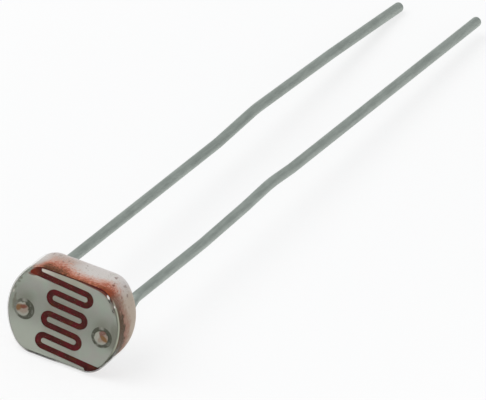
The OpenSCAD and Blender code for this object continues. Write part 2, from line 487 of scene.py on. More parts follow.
comb_plate = draw_outline("comb_plate", -COMB_MARGIN, SEAT_Z)
stretch((0, 0, FILM_T - SEAT_Z))
for side in (-1, 1):
    bpy.ops.mesh.select_all(action="SELECT")
    bpy.ops.mesh.bisect(
        plane_co=on_band @ Vector((0, side * BAND_H / 2, 0)),
        plane_no=on_band.to_3x3() @ Vector((0, side, 0)),
        use_fill=True, clear_outer=True)
close_up()

clear_desk()
bpy.ops.mesh.primitive_plane_add(size=TRACK_W, location=(0, 0, SEAT_Z - BAR_T / 2))
track_bar = open_new("track_bar")
pick("VERT", lambda place: place.x > 0)
bpy.ops.mesh.delete(type="VERT")
row_y = FIRST_ROW_Y
bpy.ops.mesh.select_all(action="SELECT")
bpy.ops.transform.translate(value=(TRACK_W / 2 - TRACK_REACH, row_y, 0))
stretch((TRACK_REACH + TURN_X, 0, 0))
heading = 1
for row in range(TRACK_ROWS - 1):
    turn_centre = (heading * TURN_X, row_y - ROW_PITCH / 2, 0)
    sweep(-heading * math.pi, turn_centre, (0, 0, 1), TURN_STEPS)
    row_y -= ROW_PITCH
    heading = -heading
    last = row == TRACK_ROWS - 2
    stretch((heading * (TURN_X + (TRACK_REACH if last else TURN_X)), 0, 0))
bpy.ops.mesh.select_all(action="SELECT")
stretch((0, 0, BAR_T))
close_up()
set_down(track_bar, on_band)
carve(comb_plate, track_bar)
print("plate and track", len(comb_plate.data.polygons))

# %% Free ends of the outer strips
STRIP_X = 1.43
STRIP_Y = FIRST_ROW_Y + TRACK_W / 2
TRIM_BOX = (2, 1, 0.2)
TRIM_OVER_TRACK = 0.1
trim_x = STRIP_X + TRIM_BOX[0] / 2
trim_y = STRIP_Y + TRIM_BOX[1] / 2 - TRIM_OVER_TRACK
for side in (-1, 1):
    clear_desk()
    bpy.ops.mesh.primitive_cube_add(size=1, location=(side * trim_x, -side * trim_y, SEAT_Z))
    trim = open_new("trim")
    bpy.ops.transform.resize(value=TRIM_BOX)
    close_up()
    set_down(trim, on_band)
    carve(comb_plate, trim)
print("strips trimmed", len(comb_plate.data.polygons))

# %% Round corners of the free ends
STRIP_CORNER_R = 0.07
CLOSE_BY = 0.01
AT_END = 0.002
inner_corner = (STRIP_Y - CLOSE_BY, STRIP_Y + CLOSE_BY)
outer_corner = (STRIP_Y + 2 * CLOSE_BY, BAND_H)
off_band = on_band.inverted()
bpy.ops.object.mode_set(mode="EDIT")
for side in (-1, 1):
    for low, high in (inner_corner, outer_corner):
        def at_corner(place):
            flat = off_band @ place
            return abs(flat.x - side * STRIP_X) < AT_END and low < -side * flat.y < high
        corners = pick("EDGE", at_corner)
        bpy.ops.mesh.bevel(offset=STRIP_CORNER_R, segments=5, affect="EDGES", clamp_overlap=True)
        print("strip corners rounded", corners)
bpy.ops.mesh.select_all(action="SELECT")
bpy.ops.mesh.dissolve_degenerate(threshold=TINY)
close_up()

# %% The two halves
def sideways(half):
    """A number that is less than 0 for the left half and more for the right one."""
    return sum(point.co.x for point in half.data.vertices)


take_up(comb_plate)
bpy.ops.mesh.separate(type="LOOSE")
combs = sorted(bpy.context.selected_objects, key=sideways)
print("combs", len(combs), [len(half.data.polygons) for half in combs])
comb_left, comb_right = combs[0], combs[-1]
comb_left.name = "comb_left"
comb_right.name = "comb_right"

# %% [markdown]
# ## The wires
# Each lead is a stiff tinned wire. A curve with a round bevel would give one quickly, but a
# ring that is pulled along the runs and swept round the bends keeps every run straight and
# every bend at its radius: first a crank behind the ceramic and then soft, careless bends.
# The tip is rounded a little. At the front the wire is pinched off: its head is a low dome
# with two flat cuts that meet in a ridge, as pliers leave it.

# %% Wires
WIRE_R = 0.215
WIRE_SIDES = 32
STUB = 0.1
CRANK_RISE = 0.61
CRANK_SLOPE = 38
CRANK_R = 0.6
SOFT_R = 10
BEND_STEPS = 8
TIP_R = 0.1
TIP_STEPS = 4
HEAD_R = 0.31
HEAD_SIDE = 0.05
HEAD_DOME = 0.08
DOME_STEPS = 7
RIDGE_DROP = 0.012
CUT_SLANT = 0.2
crank_drop = 2 * CRANK_R * (1 - math.cos(math.radians(CRANK_SLOPE)))
crank_len = (CRANK_RISE - crank_drop) / math.sin(math.radians(CRANK_SLOPE))
first_runs = [(SEAT_Z + CERAMIC_T + STUB, 0), (crank_len, CRANK_SLOPE)]
left_runs = first_runs + [(14.74, -0.2), (2.8, 3.3), (7.2, -2.1), (0, -3.2)]
right_runs = first_runs + [(6.04, -0.3), (3.7, 1.9), (1.6, 3.8), (1.2, -3.5), (0, -0.55)]
LEFT_LENGTH = 35
RIGHT_LENGTH = 35.2


def bend_radius(number):
    """The two bends of the crank are tight, and the later ones soft."""
    return CRANK_R if number < 2 else SOFT_R


def draw_wire(name, x, runs, length, ridge_turn):
    """A wire of straight runs, each with its slope, bent between them."""
    slopes = [math.radians(slope) for run, slope in runs]
    arcs = [bend_radius(i) * abs(slopes[i + 1] - slopes[i]) for i in range(len(runs) - 1)]
    lengths = [run for run, slope in runs]
    lengths[-1] = SEAT_Z + CERAMIC_T + length - TIP_R - sum(lengths) - sum(arcs)
    place = Vector((x, LEAD_Y, SEAT_Z))
    clear_desk()
    bpy.ops.mesh.primitive_circle_add(vertices=WIRE_SIDES, radius=WIRE_R, location=place)
    piece = open_new(name)
    for i, slope in enumerate(slopes):
        ahead = Vector((0, math.sin(slope), -math.cos(slope)))
        stretch(ahead * lengths[i])
        place += ahead * lengths[i]
        if i == len(slopes) - 1:
            break
        turn = slopes[i + 1] - slope
        arm = math.copysign(bend_radius(i), turn)
        centre = place + arm * Vector((0, math.cos(slope), math.sin(slope)))
        sweep(turn, centre, (1, 0, 0), BEND_STEPS)
        place = centre - arm * Vector((0, math.cos(slopes[i + 1]), math.sin(slopes[i + 1])))
    radius = WIRE_R
    quarter_step = math.pi / 2 / TIP_STEPS
    for step in range(1, TIP_STEPS + 1):
        angle = step * quarter_step
        reach = TIP_R * (math.sin(angle) - math.sin(angle - quarter_step))
        stretch(ahead * reach)
        place += ahead * reach
        new_radius = WIRE_R - TIP_R * (1 - math.cos(angle))
        shrink(new_radius / radius, place)
        radius = new_radius
    bpy.ops.mesh.edge_face_add()
    draw_head(x, ridge_turn)
    close_up()
    print(name, "ends at", [round(c, 3) for c in place])
    return piece


def draw_head(x, ridge_turn):
    """The head on the front end of a wire, pinched to a ridge."""
    dome_r = (HEAD_R ** 2 + HEAD_DOME ** 2) / (2 * HEAD_DOME)
    dome_z = SEAT_Z + HEAD_SIDE + HEAD_DOME - dome_r
    rings = [(HEAD_R, SEAT_Z), (HEAD_R, SEAT_Z + HEAD_SIDE)]
    for step in range(1, DOME_STEPS):
        ring_r = HEAD_R * (1 - step / DOME_STEPS)
        rings.append((ring_r, dome_z + math.sqrt(dome_r ** 2 - ring_r ** 2)))
    pick("EDGE", lambda place: abs(place.z - SEAT_Z) < TINY)
    radius, level = WIRE_R, SEAT_Z
    for ring_r, ring_z in rings:
        stretch((0, 0, ring_z - level))
        shrink(ring_r / radius, (x, LEAD_Y, ring_z))
        radius, level = ring_r, ring_z
    bpy.ops.mesh.edge_face_add()
    ridge = (x, LEAD_Y, SEAT_Z + HEAD_SIDE + HEAD_DOME - RIDGE_DROP)
    for side in (-1, 1):
        slant = Vector((side * math.sin(CUT_SLANT), 0, math.cos(CUT_SLANT)))
        facing = Matrix.Rotation(ridge_turn, 3, "Z") @ slant
        bpy.ops.mesh.select_all(action="SELECT")
        bpy.ops.mesh.bisect(plane_co=ridge, plane_no=facing, use_fill=True, clear_outer=True)


wire_left = draw_wire("wire_left", -LEAD_X, left_runs, LEFT_LENGTH, math.radians(75))
wire_right = draw_wire("wire_right", LEAD_X, right_runs, RIGHT_LENGTH, math.radians(-12))

# %% [markdown]
# ## The contact rings
# A bead of dark conductive paste joins each head to its comb. It creeps up the head in a
# hollow curve and its foot is not quite round, so a torus would be the wrong shape. The bead
# is a ring that is pulled up and in, closed again at its foot, and pushed a little to the
# side where the bead is broader.

# %% Contact rings
BEAD_R = 0.44
BEAD_H = 0.05
BEAD_STEPS = 6


def draw_bead(name, x, lean):
    """A hollow bead of paste round a head, broader towards one side."""
    clear_desk()
    bpy.ops.mesh.primitive_circle_add(
        vertices=RING_SIDES, radius=BEAD_R, location=(x, LEAD_Y, SEAT_Z))
    piece = open_new(name)
    bpy.ops.transform.translate(value=(*lean, 0))
    radius, level = BEAD_R, SEAT_Z
    for step in range(1, BEAD_STEPS + 1):
        angle = step * math.pi / 2 / BEAD_STEPS
        ring_r = BEAD_R - (BEAD_R - HEAD_R) * math.sin(angle)
        ring_z = SEAT_Z + BEAD_H * (1 - math.cos(angle))
        stretch((-lean[0] / BEAD_STEPS, -lean[1] / BEAD_STEPS, ring_z - level))
        left = 1 - step / BEAD_STEPS
        shrink(ring_r / radius, (x + lean[0] * left, LEAD_Y + lean[1] * left, ring_z))
        radius, level = ring_r, ring_z
    stretch((0, 0, SEAT_Z - level))
    pick("EDGE", lambda place: abs(place.z - SEAT_Z) < TINY)
    bpy.ops.mesh.bridge_edge_loops()
    close_up()
    return piece


paste_left = draw_bead("paste_left", -LEAD_X, (0.02, -0.012))
paste_right = draw_bead("paste_right", LEAD_X, (0.022, -0.024))
print("beads", len(paste_left.data.polygons), len(paste_right.data.polygons))

# %% [markdown]
# ## The clear coat
# Clear resin covers the face and most of the sides. A block of it would touch the pieces
# inside and render less clear, so it is a cup that is open to the back: the outline is pulled
# back, its rim is bevelled broad and round, and it rises softly over the two heads. A wall
# thickness is then given to it, inwards and clear of what it covers.

# %% Clear coat
COAT_SIDE_T = 0.06
COAT_EDGE_R = 0.2
COAT_BACK = -1.36
COAT_WALL = 0.03
RISE_R = 0.53
RISE_H = 0.1
RISE_SIDES = 64
RISE_STEPS = 10
RISE_ROOT = 0.05
RISE_SINK = 0.0005

resin_coat = draw_outline("resin_coat", COAT_SIDE_T, COAT_TOP)
stretch((0, 0, COAT_BACK - COAT_TOP))
pick("EDGE", lambda place: place.z > COAT_TOP - TINY)
bpy.ops.mesh.bevel(offset=COAT_EDGE_R, segments=8, affect="EDGES")
close_up()

for side in (-1, 1):
    clear_desk()
    radius, level = RISE_R, COAT_TOP - RISE_ROOT
    bpy.ops.mesh.primitive_circle_add(
        vertices=RISE_SIDES,
        radius=radius,
        location=(side * LEAD_X, LEAD_Y, level),
        fill_type="NGON",
    )
    rise = open_new("rise")
    for step in range(RISE_STEPS):
        share = step / RISE_STEPS
        ring_r = RISE_R * (1 - share)
        ring_z = COAT_TOP - RISE_SINK + RISE_H * (1 - math.cos(math.pi * share)) / 2
        stretch((0, 0, ring_z - level))
        shrink(ring_r / radius, (side * LEAD_X, LEAD_Y, ring_z))
        radius, level = ring_r, ring_z
    close_up()
    carve(resin_coat, rise, "UNION")
print("cup with two rises", len(resin_coat.data.polygons))

# %% Wall of the coat
take_up(resin_coat)
bpy.ops.object.mode_set(mode="EDIT")
pick("FACE", lambda place: place.z < COAT_BACK + TINY)
bpy.ops.mesh.delete(type="FACE")
bpy.ops.object.mode_set(mode="OBJECT")
wall = resin_coat.modifiers.new("wall", "SOLIDIFY")
wall.thickness = COAT_WALL
wall.offset = -1
bpy.ops.object.modifier_apply(modifier="wall")
print("coat", len(resin_coat.data.polygons))

# %% [markdown]
# ## Places on the face
# Ceramic, film, combs and coat change along the same lines: the rim, the side where the
# metal goes over it, and the rows of the track. These places are worked out once, from the
# sizes that the pieces were drawn with. In all the finishes below a place is in millimetres
# on the drawing, and a noise lies between 0 and 1, mostly near one half.

# %% Places on the face
RIM_BLEND = 0.42


class FaceFinish(Finish):
    """A finish that knows the rim and the track."""

    def outside(self, x, y):
        """How far a place lies outside the ceramic's outline, less than 0 on the face."""
        return self.node("ShaderNodeMath", {"operation": "SMOOTH_MAX"}, {
            0: self.distance(x, y) - CERAMIC_W / 2,
            1: self.size(y) - CERAMIC_H / 2,
            2: RIM_BLEND,
        })

    def lower_left(self, x, y):
        """1 along the left end and the lower flat, where the metal goes over the rim."""
        return self.fade(0 - x * 0.27 - y * 0.36, -0.2, -0.08)

    def lower_right(self, x, y):
        """1 on the lower part of the right end, where the metal on the rim is dark."""
        return self.fade(x, 1.6, 2.0) * self.fade(y, -0.4, -0.8) * self.fade(y, -1.6, -0.95)

    def across(self, x, y):
        """How far a place lies above the middle row of the track."""
        from_x = (x - BAND_SHIFT.x) * math.sin(-BAND_TURN)
        return from_x + (y - BAND_SHIFT.y) * math.cos(BAND_TURN)

    def last_row(self, x, y):
        """1 where the last row runs out over the rim, broader past the lower strip."""
        above_row = self.across(x, y) + FIRST_ROW_Y
        below_row = 0 - above_row - 0.25 * self.fade(x, 1.2, 1.35)
        beside_row = self.larger(above_row, below_row)
        return self.fade(beside_row, 0.15, 0.12) * self.fade(x, 0.9, 1.2)


print("first row of the track at", FIRST_ROW_Y, "mm and last one at", -FIRST_ROW_Y)

# %% [markdown]
# ## White ceramic with overspray
# The disc is off-white. When the film was laid on the face, some of it went over the rim:
# on the upper flat it is dark and orange at the front edge, then salmon, and thins out to
# specks and single spots. The right end is olive brown at the edge and beige behind. Along
# the left and lower rim the edge is grey, where the metal went over. A painted picture would
# fit one side only. So all this follows the depth behind the face, broken up by noise of
# several sizes, which goes round all sides without a seam.

# %% Colours and spots of the ceramic
WHITE_CERAMIC = (0.69, 0.645, 0.625)
AGED_WHITE = (0.635, 0.59, 0.57)
BLUSH = (0.65, 0.52, 0.475)
SALMON = (0.60, 0.32, 0.25)
ORANGE = (0.46, 0.14, 0.08)
BROWN = (0.22, 0.07, 0.03)
RUST = (0.095, 0.034, 0.012)
DEEP_ORANGE = (0.29, 0.05, 0.014)
HAZE = (0.50, 0.335, 0.275)
SMOKE = (0.22, 0.145, 0.11)
PALE_GREEN = (0.56, 0.56, 0.48)
SPECK = (0.17, 0.065, 0.045)
OLIVE = (0.10, 0.056, 0.027)
PINK_BROWN = (0.39, 0.19, 0.135)
DULL_BEIGE = (0.43, 0.29, 0.22)
BEIGE = (0.57, 0.47, 0.385)
METAL_GREY = (0.33, 0.345, 0.30)
METAL_SHADE = (0.11, 0.115, 0.085)
PALE_RIM = (0.42, 0.43, 0.34)
FILM_DARK = (0.050, 0.010, 0.008)
# x and depth of each spot, then the turn, half length and half width of them all
SPOT_PLACES = [
    (-1.40, 1.37),
    (-0.82, 0.93),
    (-0.64, 1.13),
    (0.12, 0.37),
    (0.64, 0.35),
    (1.37, 1.27),
    (1.50, 0.67),
    (1.77, 1.30),
    (1.98, 1.13),
    (2.09, 0.27),
]
SPOT_SHAPE = (90, 0.11, 0.055)
print("spots on the upper side", len(SPOT_PLACES))


# %% Ceramic finish
def ceramic_finish():
    made = FaceFinish("white_ceramic")
    place, x, y, z = made.drawing()
    clouds = made.noise(place, 1.5, 2.0)
    blots = made.noise(place, 3.6, 3.0, 0.6)
    grains = made.noise(place, 7.5, 4.0, 0.7)
    fine = made.noise(place, 17.0, 2.0)
    depth = 0 - z
    uneven = (grains - 0.5) * 1.1 + (fine - 0.5)

    # the bare ceramic and the overspray on it, by depth
    aged = made.blend(made.fade(x, 0.6, -0.6), WHITE_CERAMIC, AGED_WHITE)
    greened = made.blend(made.fade(blots, 0.58, 0.75) * 0.5, aged, PALE_GREEN)
    drifted = x + (clouds - 0.5) * 0.9 + (grains - 0.5) * 0.4
    heavy = made.fade(made.size(drifted + 0.8), 0.95, 0.1)
    strong_right = made.fade(made.size(drifted - 1.6), 0.6, 0.1)
    thin_left = made.fade(x, -1.2, -1.6)
    reach = 0.68 + 0.3 * heavy + 0.14 * strong_right + 0.3 * (clouds - 0.5)
    faint = 0.27 - 0.37 * heavy - 0.25 * strong_right + 0.6 * thin_left
    thinned = depth / reach + faint + uneven
    sprayed = made.ramp(thinned * 0.6, [
        (0.0, RUST),
        (0.10, BROWN),
        (0.27, ORANGE),
        (0.46, SALMON),
        (0.72, BLUSH),
        (0.95, WHITE_CERAMIC),
    ])
    sprayed = made.blend(made.fade(thinned, 1.0, 1.7), sprayed, greened)
    hazed = heavy * made.fade(thinned, 0.75, 1.1) * made.fade(depth + uneven * 0.3, 1.8, 1.0)
    sprayed = made.blend(hazed * 0.8, sprayed, HAZE)
    deepened = strong_right * made.fade(thinned, 0.8, 0.2) * made.fade(blots, 0.28, 0.5)
    sprayed = made.blend(deepened * 0.85, sprayed, DEEP_ORANGE)

    # the right end, and smoke at two corners
    end_depth = depth + 0.32 * y - 0.1 + uneven * 0.35 + (blots - 0.5) * 0.9
    ended = made.ramp(end_depth * 0.8, [
        (0.20, OLIVE),
        (0.36, OLIVE),
        (0.50, PINK_BROWN),
        (0.68, DULL_BEIGE),
        (0.92, BEIGE),
    ])
    stained = made.blend(made.fade(x + uneven * 0.3, 1.7, 2.1), sprayed, ended)
    left_corner = made.fade(made.size(x + 1.55), 0.45, 0.1) * 0.36
    right_corner = made.fade(made.size(x - 1.95), 0.3, 0.05) * 0.7
    smoked = (left_corner + right_corner) * made.fade(depth + uneven * 0.4, 0.95, 0.15)
    stained = made.blend(smoked, stained, SMOKE)

    # specks all round and spots on the upper side
    specks = made.fade(made.noise(place, 7.0, 1.5), 0.62, 0.70)
    upper_side = made.fade(y, 0.5, 1.4) * made.fade(depth, 1.65, 1.3)
    specked = made.blend(specks * (0.06 + 0.46 * upper_side), stained, SPECK)
    spots = [(*spot, *SPOT_SHAPE) for spot in SPOT_PLACES]
    ragged_x = x + (grains - 0.5) * 0.2
    ragged_depth = depth + (fine - 0.5) * 0.2
    spotted = made.marks(ragged_x, ragged_depth, spots) * made.fade(y, 0.8, 1.0)
    specked = made.blend(spotted * 0.5, specked, SPECK)

    # metal and film that went over the rim
    metal = made.lower_left(x, y) * made.fade(depth, 0.2, 0.03) * (1 - made.last_row(x, y))
    pale = made.fade(x, 1.75, 2.05) * made.fade(depth, 0.05, 0.02) * made.fade(y, -1.2, -0.6)
    low_metal = made.lower_right(x, y) * made.fade(depth, 0.55, 0.3)
    edged = made.blend(low_metal, made.blend(metal, specked, METAL_GREY), METAL_SHADE)
    edged = made.blend(pale, edged, PALE_RIM)
    run_out = made.last_row(x, y) * made.fade(depth, 0.5, 0.2)
    colour = made.blend(run_out, edged, FILM_DARK)
    relief = made.noise(place, 22.0, 3.0)
    shader = made.surface({
        "Base Color": colour,
        "Roughness": 0.42 + 0.2 * grains,
        "Specular IOR Level": 0.2,
        "Normal": made.bump(relief, 0.012, 0.5),
    })
    return made.done(shader)


finish_piece(ceramic_disc, ceramic_finish(), "ceramic_base")

# %% [markdown]
# ## The film
# The light-sensitive film is a dark red-brown, a little cloudy. At the left end of the first
# row it is thin and turns a brick red, and it stops short of the rim. Metal covers its margin
# on the left, below and on the right. The film is a plain plate, so its solid stays and only
# gets this finish.

# %% Film finish
FILM_RED = (0.095, 0.008, 0.011)
FILM_BROWN = (0.075, 0.020, 0.008)
FILM_THIN = (0.155, 0.024, 0.012)


def film_finish():
    made = FaceFinish("dark_red_film")
    place, x, y, _ = made.drawing()
    clouds = made.noise(place, 2.6, 3.0, 0.6)
    other = made.noise(place, 4.3, 2.0)
    red = made.blend(made.fade(clouds, 0.36, 0.66), FILM_DARK, FILM_RED)
    browned = made.blend(made.fade(other, 0.52, 0.72), red, FILM_BROWN)
    thin_end = made.fade(made.distance(x + 1.75, y - 1.45) + (other - 0.5) * 0.4, 0.6, 0.2)
    thinned = made.blend(thin_end, browned, FILM_THIN)
    metal_side = made.larger(made.lower_left(x, y), made.fade(x, 1.75, 2.05))
    margin = made.fade(made.outside(x, y), -0.09, -0.08) * metal_side * (1 - made.last_row(x, y))
    row_end = made.fade(x + y * 0.2 + (other - 0.5) * 0.1, -1.4, -1.44)
    metal = made.larger(margin, row_end)
    colour = made.blend(metal, thinned, METAL_GREY)
    shader = made.surface({
        "Base Color": colour,
        "Metallic": metal * 0.75,
        "Roughness": 0.5 + 0.15 * clouds,
        "Specular IOR Level": 0.1,
        "Normal": made.bump(made.noise(place, 30.0, 2.0), 0.004, 0.5),
    })
    return made.done(shader)


film_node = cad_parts["photoconductive_film"]
film_node.data.materials.clear()
film_node.data.materials.append(film_finish())
print("film finished")

# %% [markdown]
# ## The combs' metal
# The combs are a satin grey metal with a breath of green. It is faintly cloudy, darker
# across the middle and painted lighter towards the lower left. Painted shade darkens it a
# little above each head and at the right end, and lies warm on the fingers. A few dark spots
# and two painted glints sit at the left rim, and there is a darker patch left of the left
# head. The upper strip is warmer and its free end has a painted glint. The upper right rim is
# browned, and the red film shows along its edge. The film's thin end also stains the metal
# below the first row. One finish serves both combs, because it reads the place on the drawing.

# %% Comb finish
COMB_GREEN = (0.315, 0.35, 0.30)
COMB_GREY = (0.335, 0.335, 0.305)
COMB_PAINTED_LIGHT = (0.375, 0.395, 0.345)
COMB_GLINT = (0.58, 0.54, 0.48)
COMB_WARM = (0.40, 0.365, 0.285)
COMB_DARKER_MIDDLE = (0.20, 0.205, 0.175)
COMB_FINGER_SHADE = (0.20, 0.17, 0.125)
COMB_BROWN = (0.13, 0.07, 0.045)
COMB_DARK = (0.125, 0.118, 0.085)
RIM_SPOTS = [
    (-2.03, 1.07, 50, 0.1, 0.06),
    (-2.09, 0.9, 15, 0.11, 0.05),
    (-2.19, 0.63, 65, 0.1, 0.05),
    (-2.13, 0.25, 85, 0.18, 0.06),
]
RIM_GLINTS = [(-2.22, 0.81, 68, 0.1, 0.05), (-2.24, 0.43, 80, 0.09, 0.05)]
DARK_PATCH_LEFT = (-2.1, -0.07, 95, 0.36, 0.14)
RED_END = [(-1.6, 1.39, 4, 0.24, 0.065)]


def comb_finish():
    made = FaceFinish("satin_metal")
    place, x, y, _ = made.drawing()
    clouds = made.noise(place, 1.8, 3.0, 0.6)
    grains = made.noise(place, 14.0, 3.0, 0.6)
    grey = made.blend(made.fade(clouds, 0.35, 0.65), COMB_GREEN, COMB_GREY)
    from_head = made.distance(made.size(x) - LEAD_X, y - LEAD_Y - 0.36)
    # Painted shade just above each head.
    painted_shade_above_heads = made.fade(from_head + (clouds - 0.5) * 0.25, 0.55, 0.05)
    drift = (grains - 0.5) * 0.1
    # Dark spots at the left rim and a darker patch left of the left head.
    dark_spots = made.marks(x + drift, y + drift, [*RIM_SPOTS, DARK_PATCH_LEFT])
    # Painted light: the metal is lighter towards the lower left.
    painted_light = made.fade(y, 0.2, -1.5) * made.fade(x, 1.0, -0.8)
    grey = made.blend(painted_light, grey, COMB_PAINTED_LIGHT)
    # Darker across the middle.
    darker_middle = made.fade(y, -0.95, -0.1) * made.fade(y, 1.25, 0.45)
    grey = made.blend(darker_middle * 0.5, grey, COMB_DARKER_MIDDLE)
    # Warm painted shade on the fingers between the rows of the track.
    inner = made.fade(made.size(x), 0.95, 0.6)
    painted_finger_shade = inner * made.fade(made.size(made.across(x, y)), 1.55, 1.45)
    grey = made.blend(painted_finger_shade * 0.25, grey, COMB_FINGER_SHADE)
    upper_strip = made.fade(made.across(x, y), 1.5, 1.62) * made.fade(x, 1.1, 0.4)
    grey = made.blend(upper_strip * 0.5, grey, COMB_WARM)
    # A painted glint on the free end of the upper strip.
    painted_glint_end = made.fade(made.distance((x + 1.3) * 0.7, y - 1.72), 0.6, 0.02)
    grey = made.blend(painted_glint_end, grey, COMB_GLINT)
    upper_right = made.fade(x, 1.15, 1.4) * made.fade(y, 0.85, 1.05)
    brown_rim = made.fade(made.outside(x, y), -0.25, -0.1) * upper_right
    grey = made.blend(brown_rim * 0.5, grey, COMB_BROWN)
    from_rim = made.outside(x, y) + 0.075 * made.fade(x, 0.1, 1.2)
    bared = made.fade(from_rim, -0.08, -0.06) * made.fade(y, 1.2, 1.4) * made.fade(x, 1.7, 1.55)
    grey = made.blend(bared * 0.85, grey, FILM_THIN)
    # Painted shade along the right end of the right comb.
    painted_shade_right = made.fade(x, 1.85, 2.1) * made.fade(y, -0.7, -0.35) * made.fade(y, 0.8, 0.2)
    # Painted shade above the heads and at the right end, together with the dark spots and patch.
    stained = made.larger(made.larger(painted_shade_above_heads * 0.45, dark_spots * 0.7), painted_shade_right * 0.55)
    darkened = made.blend(stained, grey, COMB_DARK)
    # Two painted glints at the left rim.
    darkened = made.blend(made.marks(x, y, RIM_GLINTS) * 0.7, darkened, COMB_GLINT)
    darkened = made.blend(made.marks(x, y, RED_END) * 0.8, darkened, FILM_THIN)
    darkened = made.blend(made.last_row(x, y) * made.fade(y, -1.4, -1.5), darkened, FILM_DARK)
    shader = made.surface({
        "Base Color": darkened,
        "Metallic": 0.75,
        "Roughness": 0.34 + 0.2 * clouds,
        "Normal": made.bump(grains, 0.003, 0.4),
    })
    return made.done(shader)


satin_metal = comb_finish()
finish_piece(comb_left, satin_metal, "electrode_left")
finish_piece(comb_right, satin_metal, "electrode_right")

# %% [markdown]
# ## Tinned wire
# The wires are tinned copper: a dull grey with a few darker patches and long faint streaks,
# which come from noise that is stretched along the wire. The pinched heads show a pale cut
# with blots of copper, and the paste has crept over their edge. The two finishes differ only
# in where the blots and the bare middle of the cut lie.

# %% Wire finish
TIN = (0.452, 0.496, 0.455)
TIN_DARK = (0.363, 0.402, 0.368)
TIN_CUT = (0.37, 0.368, 0.318)
CUT_PINK = (0.31, 0.235, 0.19)
CUT_COPPER = (0.23, 0.125, 0.06)
CUT_RED = (0.19, 0.068, 0.052)
PASTE_DARK = (0.047, 0.049, 0.030)
LEFT_CUT = {
    "pink": [(0.0, 0.02, 20, 0.34, 0.24), (0.12, 0.12, 0, 0.22, 0.2)],
    "copper": [(-0.2, 0.02, 60, 0.2, 0.15), (-0.09, 0.09, 20, 0.28, 0.1)],
    "red": [(0.02, 0.13, 15, 0.2, 0.11)],
    "bare_middle": (-0.045, -0.02),
}
RIGHT_CUT = {
    "pink": [(0.22, 0.08, 70, 0.34, 0.19), (0.05, -0.04, 60, 0.24, 0.14)],
    "copper": [(0.15, 0.0, -35, 0.27, 0.12)],
    "red": [(0.06, 0.22, 30, 0.2, 0.13)],
    "bare_middle": (0.035, -0.03),
}
LONG_STREAKS = (1.0, 1.0, 0.08)


def wire_finish(name, x_middle, cut_marks):
    made = Finish(name)
    place, x, y, z = made.drawing()
    long_place = made.node("ShaderNodeVectorMath", {"operation": "MULTIPLY"}, {
        0: place,
        1: LONG_STREAKS,
    })
    streaks = made.noise(long_place, 9.0, 3.0, 0.6)
    patches = made.noise(place, 1.1, 3.0, 0.6)
    tin = made.blend(made.fade(streaks * 0.6 + patches * 0.4, 0.36, 0.64), TIN_DARK, TIN)
    drift = (made.noise(place, 7.0, 2.0) - 0.5) * 0.12
    head_x = x - x_middle + drift
    head_y = y - LEAD_Y + drift
    cut = made.blend(made.marks(head_x, head_y, cut_marks["pink"]) * 0.8, TIN_CUT, CUT_PINK)
    cut = made.blend(made.marks(head_x, head_y, cut_marks["copper"]), cut, CUT_COPPER)
    cut = made.blend(made.marks(head_x, head_y, cut_marks["red"]) * 0.8, cut, CUT_RED)
    bare_x, bare_y = cut_marks["bare_middle"]
    crept = made.fade(made.distance(head_x - bare_x, head_y - bare_y), 0.27, 0.32)
    cut = made.blend(crept * 0.9, cut, PASTE_DARK)
    front = made.fade(z, 0.05, 0.09)
    shader = made.surface({
        "Base Color": made.blend(front, tin, cut),
        "Metallic": 0.85,
        "Roughness": 0.48 + 0.16 * streaks,
        "Normal": made.bump(streaks, 0.006, 0.3),
    })
    return made.done(shader)


left_tin = wire_finish("tinned_wire_left", -LEAD_X, LEFT_CUT)
right_tin = wire_finish("tinned_wire_right", LEAD_X, RIGHT_CUT)
finish_piece(wire_left, left_tin, "lead_left")
finish_piece(wire_right, right_tin, "lead_right")

# %% [markdown]
# ## Conductive paste
# The beads are a dark olive grey, uneven and a little glossy. Each has a painted highlight
# at its top, a little to the left, and the left one is thin on its outer side. The unevenness
# could be modelled, but at this size a mottled colour and a fine bump are enough.

# %% Paste finish
PASTE_PALE = (0.19, 0.19, 0.16)
PASTE_HIGHLIGHT = (0.215, 0.21, 0.18)
HIGHLIGHT_LEFT = 0.04
HIGHLIGHT_UP = 0.37


def paste_finish():
    made = Finish("conductive_paste")
    place, x, y, _ = made.drawing()
    clouds = made.noise(place, 5.0, 2.0, 0.6)
    far_left = 0 - x - LEAD_X
    above = y - LEAD_Y
    mottled = made.blend(made.fade(clouds, 0.5, 0.72), PASTE_DARK, PASTE_PALE)
    thin = made.fade(far_left - above * 0.1, 0.05, 0.35) * 0.5
    thinned = made.blend(thin, mottled, PASTE_PALE)
    # A painted highlight on each bead's top, a little to the left.
    from_highlight = made.distance(made.size(x + HIGHLIGHT_LEFT) - LEAD_X, above - HIGHLIGHT_UP)
    painted_highlight = made.fade(from_highlight + clouds * 0.2, 0.24, 0.12)
    shader = made.surface({
        "Base Color": made.blend(painted_highlight, thinned, PASTE_HIGHLIGHT),
        "Roughness": 0.35 + 0.25 * clouds,
        "Normal": made.bump(made.noise(place, 16.0, 2.0), 0.01, 0.6),
    })
    return made.done(shader)


paste = paste_finish()
finish_piece(paste_left, paste, "contact_left")
finish_piece(paste_right, paste, "contact_right")

# %% [markdown]
# ## Clear resin
# The coat is clear and glossy. A clear shader mixed with a glossy one by the Fresnel term
# shows what lies beneath and still catches the light. Glass that bends the view would be
# noisier, and a coat this thin hardly bends it. At its outermost edge it has taken the
# grey of the metal on the left and below, dark in places, and the red of the film where the
# last row runs out. Along the middle of the lower edge it is darker, from the film's dark rim
# with painted shade. Two painted glints, white, and two dark marks beside them sit on the
# upper right rim.

